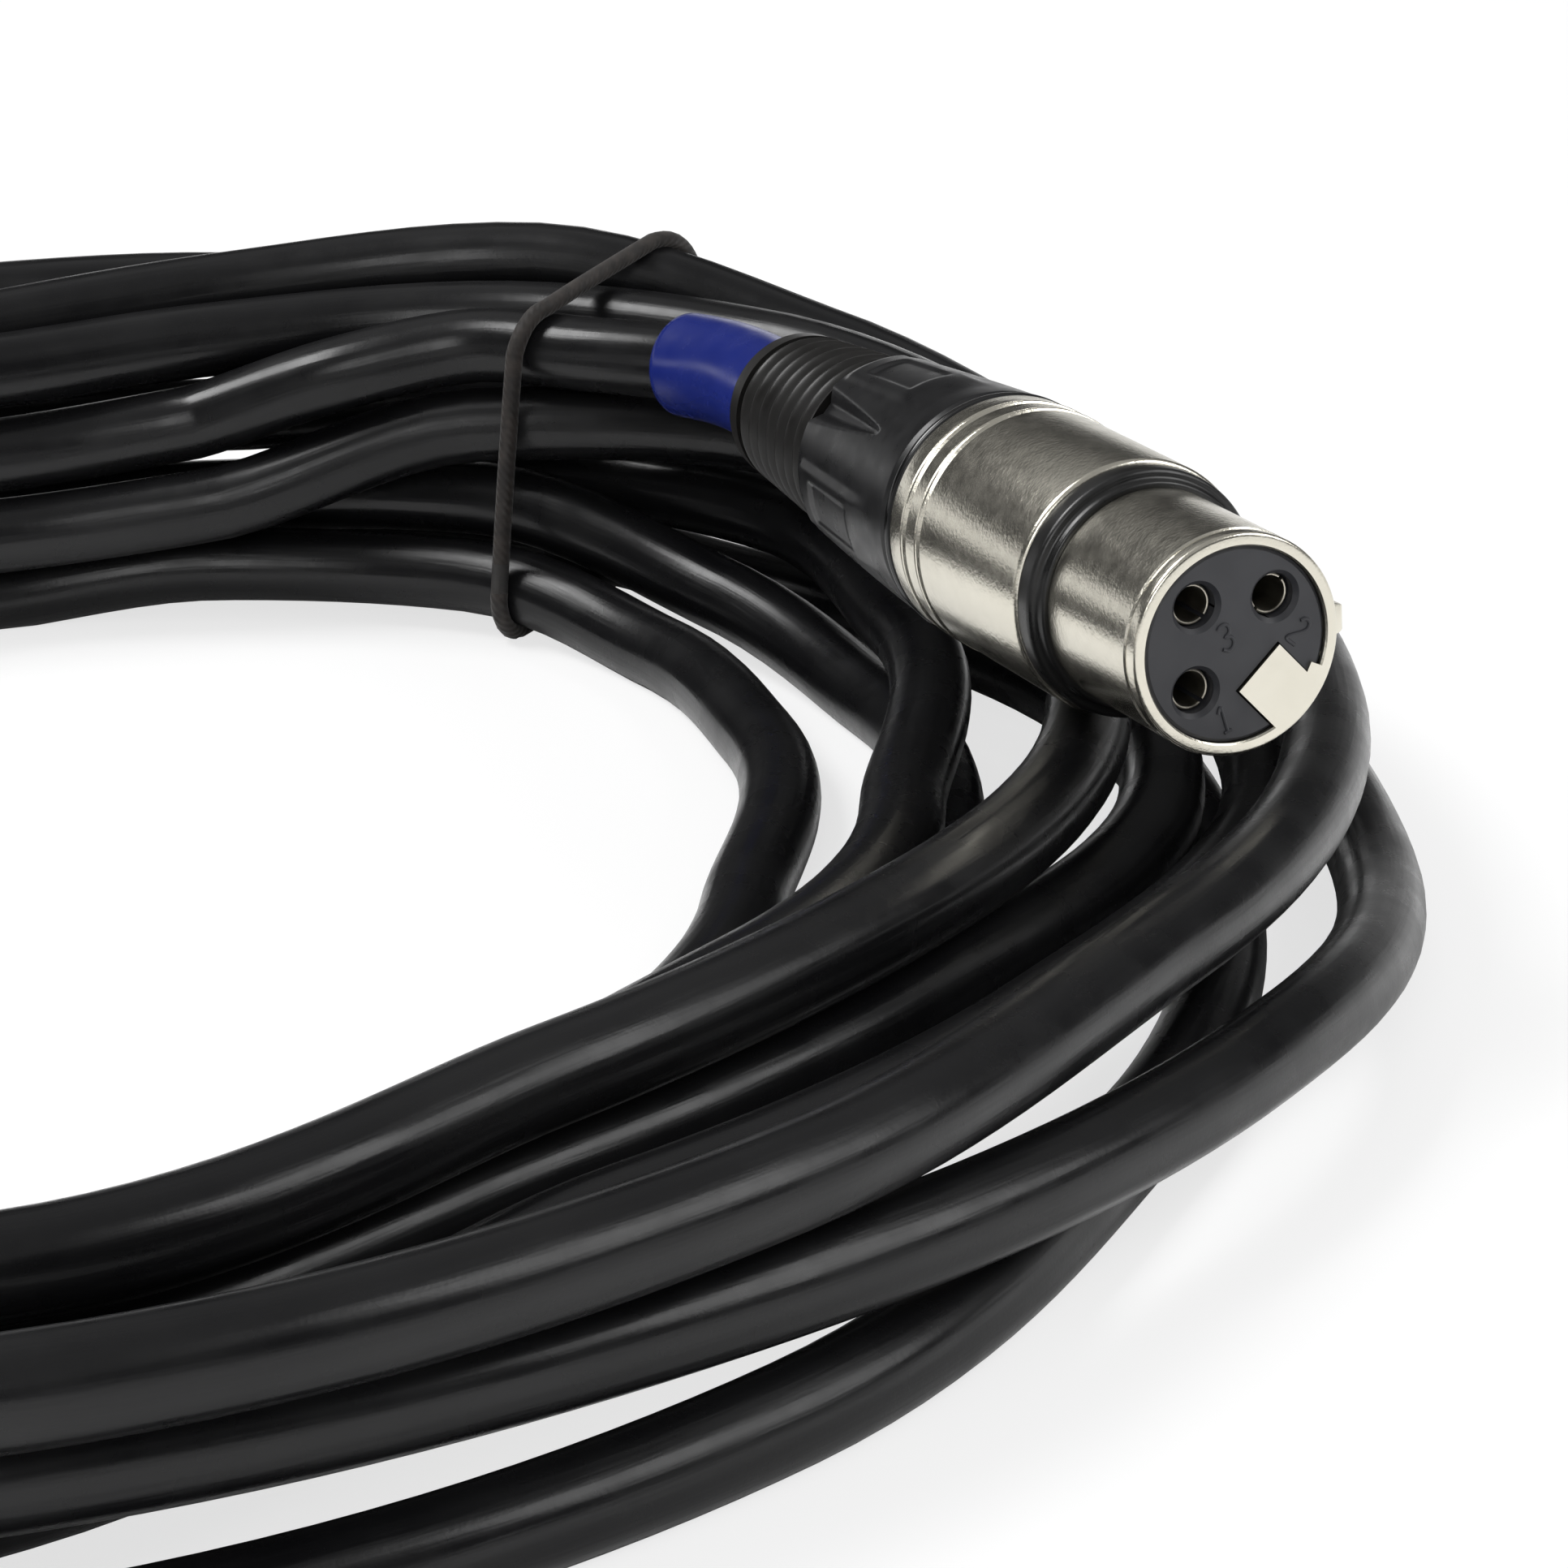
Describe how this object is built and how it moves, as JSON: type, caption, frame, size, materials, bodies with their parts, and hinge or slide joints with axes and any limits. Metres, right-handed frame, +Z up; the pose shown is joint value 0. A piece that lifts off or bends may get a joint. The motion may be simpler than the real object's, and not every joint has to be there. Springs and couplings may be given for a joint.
{
  "type": "xlr cable coil",
  "caption": "Coiled 5 m microphone cable, tied, with a female and a male three-pole metal connector.",
  "frame": {"origin": "centre of the whole object's bounding box in plan, at the height of the surface it lies on", "axes": "+Z up; +X along the coil's longer way, from the male connector's side to the female one's; the female connector's face looks towards -Y"},
  "size_m": [0.2298, 0.1974, 0.0392],
  "materials": {
    "cable_jacket": "satin black cable jacket",
    "tie_elastic": "thin dark elastic",
    "shell_nickel": "satin nickel plating, fine grain",
    "nose_ring_rubber": "matt black rubber",
    "insert_plastic": "moulded charcoal plastic",
    "contact_metal": "plated contact metal",
    "pin_metal": "silver plated, bright",
    "latch_steel": "bright stamped steel",
    "spring_steel": "thin spring strip",
    "wire_insulation": "coloured wire insulation",
    "clamp_plastic": "moulded black plastic",
    "nut_plastic": "black plastic, slightly glossy edges",
    "boot_rubber": "soft black boot",
    "sleeve_blue": "glossy deep blue sleeve"
  },
  "bodies": {
    "coil": {"cable_coil": "cable_jacket", "female_lead": "cable_jacket", "male_lead": "cable_jacket", "coil_tie": "tie_elastic", "female_sleeve": "sleeve_blue", "male_sleeve": "sleeve_blue", "female_shell": "shell_nickel", "female_nose_ring": "nose_ring_rubber", "female_insert": "insert_plastic", "female_contact_1": "contact_metal", "female_contact_2": "contact_metal", "female_contact_3": "contact_metal", "female_latch_pin": "latch_steel", "female_latch_spring": "spring_steel", "female_ground_tab": "spring_steel", "female_cores": "wire_insulation", "female_clamp": "clamp_plastic", "male_shell": "shell_nickel", "male_insert": "insert_plastic", "male_pin_1": "pin_metal", "male_pin_2": "pin_metal", "male_pin_3": "pin_metal", "male_cores": "wire_insulation", "male_clamp": "clamp_plastic"},
    "female_latch": {"female_latch": "latch_steel"},
    "female_boot": {"female_boot": "boot_rubber"},
    "female_nut": {"female_nut": "nut_plastic"},
    "male_boot": {"male_boot": "boot_rubber"},
    "male_nut": {"male_nut": "nut_plastic"}
  },
  "joints": [
    {"name": "female_latch_press", "type": "hinge", "parent": "coil", "child": "female_latch", "pos_m": [0.08203, -0.03676, 0.02936], "axis": [0.045, -0.0426, -0.9981], "range_deg": [0, 2.8], "stiffness_Nm_per_rad": 1.2, "springref_deg": -1.72, "deforming": ["female_latch_spring"]},
    {"name": "female_boot_travel", "type": "slide", "parent": "coil", "child": "female_boot", "axis": [0.1924, 0.9808, -0.0332], "range_m": [0, 0.003]},
    {"name": "female_nut_turn", "type": "hinge", "parent": "female_boot", "child": "female_nut", "pos_m": [0.0776, -0.01656, 0.0283], "axis": [-0.1924, -0.9808, 0.0332], "range_deg": [0, 720]},
    {"name": "male_boot_travel", "type": "slide", "parent": "coil", "child": "male_boot", "axis": [0.1908, 0.9816, 0], "range_m": [0, 0.003]},
    {"name": "male_nut_turn", "type": "hinge", "parent": "male_boot", "child": "male_nut", "pos_m": [-0.08197, -0.00762, 0.0296], "axis": [-0.1908, -0.9816, 0], "range_deg": [0, 720]}
  ],
  "couplings": [
    {"joint": "female_nut_turn", "follows": "female_boot_travel", "rad_per_m": 4188.8},
    {"joint": "male_nut_turn", "follows": "male_boot_travel", "rad_per_m": 4188.8}
  ]
}
